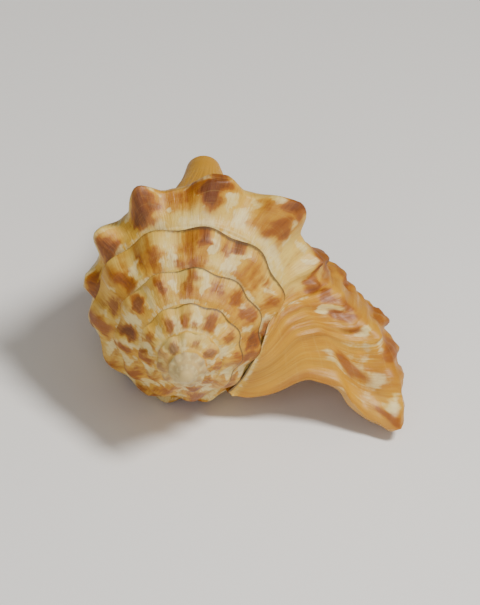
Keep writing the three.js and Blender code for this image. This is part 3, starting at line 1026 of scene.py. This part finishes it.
OCHRE = srgb(194, 136, 6)
OCHRE_DEEP = srgb(164, 100, 0)
TAN = srgb(206, 158, 44)
CREAM = srgb(216, 184, 90)
WHITE = srgb(224, 204, 140)
BROWN = srgb(140, 74, 0)
BROWN_DEEP = srgb(98, 38, 0)
APEX_GREY = srgb(200, 180, 124)
# The next colour is painted shade, for the dark line in the suture's crease
SUTURE_SHADE = srgb(80, 58, 32)
APERTURE = srgb(232, 186, 138)
APERTURE_DEEP = srgb(190, 110, 62)
EDGE_CREAM = srgb(204, 158, 84)

# Noises drawn out along the spiral: how fine along the turn and along q, and an offset
STREAKS = (55, 1.6, 0)
FINE_STREAKS = (210, 2.5, 5)
GROWTH_LINES = (480, 3, 9)
CORDS = (9, 42, 2)

# Noises in space, for each metre
BLOTS = 150
CLOUDS = 55
SPECKS = 900

# q over which the lines fade toward the front end, where they would run together
LINES_FADE_Q = (1.85, 1.15)

# The dark suture line, painted shade in the suture's crease, as shares of GAP_RANGE from its outside
# to its inside
SUTURE_SHADE_LINE = (0.11, 0.05)

# Turns behind the lip over which the aperture darkens
APERTURE_SHADE = 0.3

ROUGHNESS = 0.48
ROUGHNESS_SPREAD = 0.3
GLOSS = 0.24
BUMP_DISTANCE = 0.0006
BUMP_STRENGTH = 0.5


class Nodes:
    """Short calls for a material's nodes."""

    def __init__(self, name):
        self.material = bpy.data.materials.new(name)
        self.material.use_nodes = True
        self.tree = self.material.node_tree
        self.shader = self.tree.nodes["Principled BSDF"]

    def link(self, value, socket):
        if isinstance(value, bpy.types.NodeSocket):
            self.tree.links.new(value, socket)
        else:
            socket.default_value = value

    def attribute(self, name):
        node = self.tree.nodes.new("ShaderNodeAttribute")
        node.attribute_name = name
        return node

    def split(self, vector):
        node = self.tree.nodes.new("ShaderNodeSeparateXYZ")
        self.link(vector, node.inputs[0])
        return node.outputs

    def math(self, operation, *values):
        node = self.tree.nodes.new("ShaderNodeMath")
        node.operation = operation
        for value, socket in zip(values, node.inputs):
            self.link(value, socket)
        return node.outputs[0]

    def combine(self, x, y, z):
        node = self.tree.nodes.new("ShaderNodeCombineXYZ")
        for value, socket in zip((x, y, z), node.inputs):
            self.link(value, socket)
        return node.outputs[0]

    def noise(self, vector, scale, detail=2.0, roughness=0.5):
        node = self.tree.nodes.new("ShaderNodeTexNoise")
        self.link(vector, node.inputs["Vector"])
        node.inputs["Scale"].default_value = scale
        node.inputs["Detail"].default_value = detail
        node.inputs["Roughness"].default_value = roughness
        return node.outputs[0]

    def step(self, value, low, high):
        node = self.tree.nodes.new("ShaderNodeMapRange")
        node.interpolation_type = "SMOOTHSTEP"
        self.link(value, node.inputs["Value"])
        node.inputs["From Min"].default_value = low
        node.inputs["From Max"].default_value = high
        return node.outputs[0]

    def mix(self, share, a, b):
        node = self.tree.nodes.new("ShaderNodeMix")
        node.data_type = "RGBA"
        self.link(share, node.inputs["Factor"])
        self.link(a, node.inputs["A"])
        self.link(b, node.inputs["B"])
        return node.outputs["Result"]

    def bump(self, height, distance, strength):
        node = self.tree.nodes.new("ShaderNodeBump")
        node.inputs["Strength"].default_value = strength
        node.inputs["Distance"].default_value = distance
        self.link(height, node.inputs["Height"])
        return node.outputs[0]

    def times(self, a, b):
        return self.math("MULTIPLY", a, b)

    def vary(self, value, noise, amount):
        """The value, moved up and down by a noise whose middle is 0.5."""
        return self.math("MULTIPLY_ADD", self.math("SUBTRACT", noise, 0.5), amount, value)


class ShellNoises:
    """The noises that the shell's colour, roughness and bump share."""

    def __init__(self, n):
        self.turn, self.q = n.split(n.attribute("spiral").outputs["Vector"])[:2]
        position = n.tree.nodes.new("ShaderNodeTexCoord").outputs["Object"]

        def drawn_out(along_turn, along_q, offset):
            return n.combine(n.times(self.turn, along_turn), n.times(self.q, along_q), offset)

        self.streaks = n.noise(drawn_out(*STREAKS), 1, 3)
        self.fine = n.noise(drawn_out(*FINE_STREAKS), 1, 3, 0.6)
        self.lines = n.noise(drawn_out(*GROWTH_LINES), 1, 2, 0.6)
        self.cords = n.noise(drawn_out(*CORDS), 1, 2)
        self.blots = n.noise(position, BLOTS, 4, 0.6)
        self.clouds = n.noise(position, CLOUDS, 3, 0.5)
        self.specks = n.noise(position, SPECKS, 3, 0.7)
        self.lined = n.step(self.q, *LINES_FADE_Q)

    def wear(self, n, field, rough):
        """A soft field with its edge broken up by blots and streaks."""
        worn = n.vary(field, self.blots, rough * 0.7)
        worn = n.vary(worn, self.streaks, rough)
        return n.vary(worn, self.fine, rough * 0.8)


def outside_color(n, noises, marks, gap):
    brown_field, white_field, ochre_field = n.split(marks.outputs["Color"])
    base = n.mix(n.step(noises.clouds, 0.38, 0.62), TAN, CREAM)

    streaky = n.times(n.step(noises.streaks, 0.35, 0.65), noises.lined)
    strong = n.mix(streaky, OCHRE, OCHRE_DEEP)
    paler = n.times(n.step(noises.fine, 0.45, 0.7), n.times(noises.lined, 0.55))
    strong = n.mix(paler, strong, TAN)
    ochre = n.step(noises.wear(n, ochre_field, 0.9), 0.05, 0.7)
    base = n.mix(n.times(ochre, 0.9), base, strong)

    # White marks, and the painted highlights on the knob tips and on the faces of some knobs
    white = n.step(noises.wear(n, white_field, 1.4), 0.3, 0.66)
    white_color = n.mix(n.step(noises.blots, 0.35, 0.6), CREAM, WHITE)
    base = n.mix(n.times(white, 0.92), base, white_color)

    brown = noises.wear(n, brown_field, 0.9)
    brown_color = n.mix(n.step(brown, 0.3, 0.6), OCHRE_DEEP, BROWN)
    brown_color = n.mix(n.step(brown, 0.6, 1.05), brown_color, BROWN_DEEP)
    base = n.mix(n.times(n.step(brown, 0.02, 0.62), 0.92), base, brown_color)

    base = n.mix(n.times(n.step(noises.cords, 0.55, 0.8), 0.18), base, CREAM)
    dark_lines = n.times(n.step(noises.lines, 0.5, 0.72), n.times(noises.lined, 0.3))
    base = n.mix(dark_lines, base, OCHRE_DEEP)
    base = n.mix(n.times(marks.outputs["Alpha"], 0.75), base, APEX_GREY)
    # Painted shade: a dark line along the crease of the suture
    groove = n.step(n.vary(gap, noises.specks, 0.08), *SUTURE_SHADE_LINE)
    return n.mix(n.times(groove, 0.85), base, SUTURE_SHADE)


def roof_color(n, noises):
    deep = n.step(noises.turn, LIP_TURN, LIP_TURN - APERTURE_SHADE)
    return n.mix(n.times(deep, 0.8), APERTURE, APERTURE_DEEP)


def fine_height(n, noises, outside):
    """The height that the bump reads, from the lines, the cords and the specks."""
    height = n.math("MULTIPLY_ADD", noises.fine, 0.8, n.times(noises.lines, 0.5))
    height = n.math("MULTIPLY_ADD", noises.cords, 0.15, height)
    height = n.math("MULTIPLY_ADD", noises.specks, 0.25, height)
    return n.times(height, n.times(outside, n.math("MAXIMUM", noises.lined, 0.35)))


def shell_material():
    n = Nodes("shell")
    parts = n.attribute("parts")
    gap, roof, floor = n.split(parts.outputs["Color"])
    noises = ShellNoises(n)
    base = outside_color(n, noises, n.attribute("marks"), gap)
    base = n.mix(roof, base, roof_color(n, noises))
    base = n.mix(floor, base, APERTURE)
    base = n.mix(n.times(parts.outputs["Alpha"], 0.85), base, EDGE_CREAM)
    n.link(base, n.shader.inputs["Base Color"])
    glossy = n.math("MAXIMUM", roof, floor)
    rough = n.vary(ROUGHNESS, noises.blots, ROUGHNESS_SPREAD)
    rough = n.math("MULTIPLY_ADD", glossy, -GLOSS, rough)
    n.link(rough, n.shader.inputs["Roughness"])
    height = fine_height(n, noises, n.math("SUBTRACT", 1, glossy))
    n.link(n.bump(height, BUMP_DISTANCE, BUMP_STRENGTH), n.shader.inputs["Normal"])
    return n.material


# The photograph: the image plane's scale and where its centre is, in millimetres from the apex.
# The tilt is in degrees and the camera's distance in metres.
PHOTO_WIDTH_PX = 480
MM_PER_PX = 0.352
CENTER_RIGHT = 19.36
CENTER_UP = 27.28
VIEW_TILT = 28
CAMERA_DISTANCE = 4.0
SENSOR = 36
CLIP_END = 20


def add_camera(apex):
    tilt = np.radians(VIEW_TILT)
    right = np.array([1, 0, 0])
    up = np.array([0, np.sin(tilt), np.cos(tilt)])
    back = np.array([0, -np.cos(tilt), np.sin(tilt)])
    turn = rest_matrix()
    center = apex + turn @ (right * CENTER_RIGHT + up * CENTER_UP) * MM
    data = bpy.data.cameras.new("camera")
    data.sensor_width = SENSOR
    data.sensor_fit = "HORIZONTAL"
    data.lens = SENSOR * CAMERA_DISTANCE / (PHOTO_WIDTH_PX * MM_PER_PX * MM)
    data.clip_end = CLIP_END
    camera = bpy.data.objects.new("camera", data)
    axes = np.column_stack([turn @ right, turn @ up, turn @ back])
    place_at = Matrix(axes.tolist()).to_4x4()
    place_at.translation = Vector(center + turn @ back * CAMERA_DISTANCE)
    camera.matrix_world = place_at
    bpy.context.collection.objects.link(camera)
    bpy.context.scene.camera = camera


# The stage, in metres and watts
FLOOR_REACH = 3
FLOOR_COLOR = (0.84, 0.83, 0.81, 1)
FLOOR_ROUGHNESS = 0.9
STUDIO_COLOR = (1, 0.97, 0.92, 1)
STUDIO_STRENGTH = 0.27
LIGHT_TARGET = Vector((0, 0, 0.04))

# Name, position, width, power, colour
LIGHTS = [
    ("key", (0.4, -0.2, 0.85), 0.3, 10.5, (1, 0.97, 0.93)),
    ("fill", (-0.2, -1, 0.5), 0.7, 3.5, (1, 1, 1)),
]


def add_light(name, position, size, power, color):
    data = bpy.data.lights.new(name, "AREA")
    data.shape = "DISK"
    data.size = size
    data.energy = power
    data.color = color
    light = bpy.data.objects.new(name, data)
    light.location = position
    light.rotation_euler = (LIGHT_TARGET - Vector(position)).to_track_quat("-Z", "Y").to_euler()
    bpy.context.collection.objects.link(light)


def add_floor():
    mesh = bpy.data.meshes.new("floor")
    corners = [(-1, -1), (1, -1), (1, 1), (-1, 1)]
    mesh.from_pydata([(x * FLOOR_REACH, y * FLOOR_REACH, 0) for x, y in corners], [], [(0, 1, 2, 3)])
    material = bpy.data.materials.new("floor")
    material.use_nodes = True
    shader = material.node_tree.nodes["Principled BSDF"]
    shader.inputs["Base Color"].default_value = FLOOR_COLOR
    shader.inputs["Roughness"].default_value = FLOOR_ROUGHNESS
    mesh.materials.append(material)
    floor = bpy.data.objects.new("floor", mesh)
    bpy.context.collection.objects.link(floor)


def add_studio():
    world = bpy.data.worlds.new("studio")
    world.use_nodes = True
    background = world.node_tree.nodes["Background"]
    background.inputs["Color"].default_value = STUDIO_COLOR
    background.inputs["Strength"].default_value = STUDIO_STRENGTH
    bpy.context.scene.world = world
    for light in LIGHTS:
        add_light(*light)


shell, shift = shell_object()
shell.data.materials.append(shell_material())
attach(shell, "root")
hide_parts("shell")
add_camera(shift)
add_floor()
add_studio()
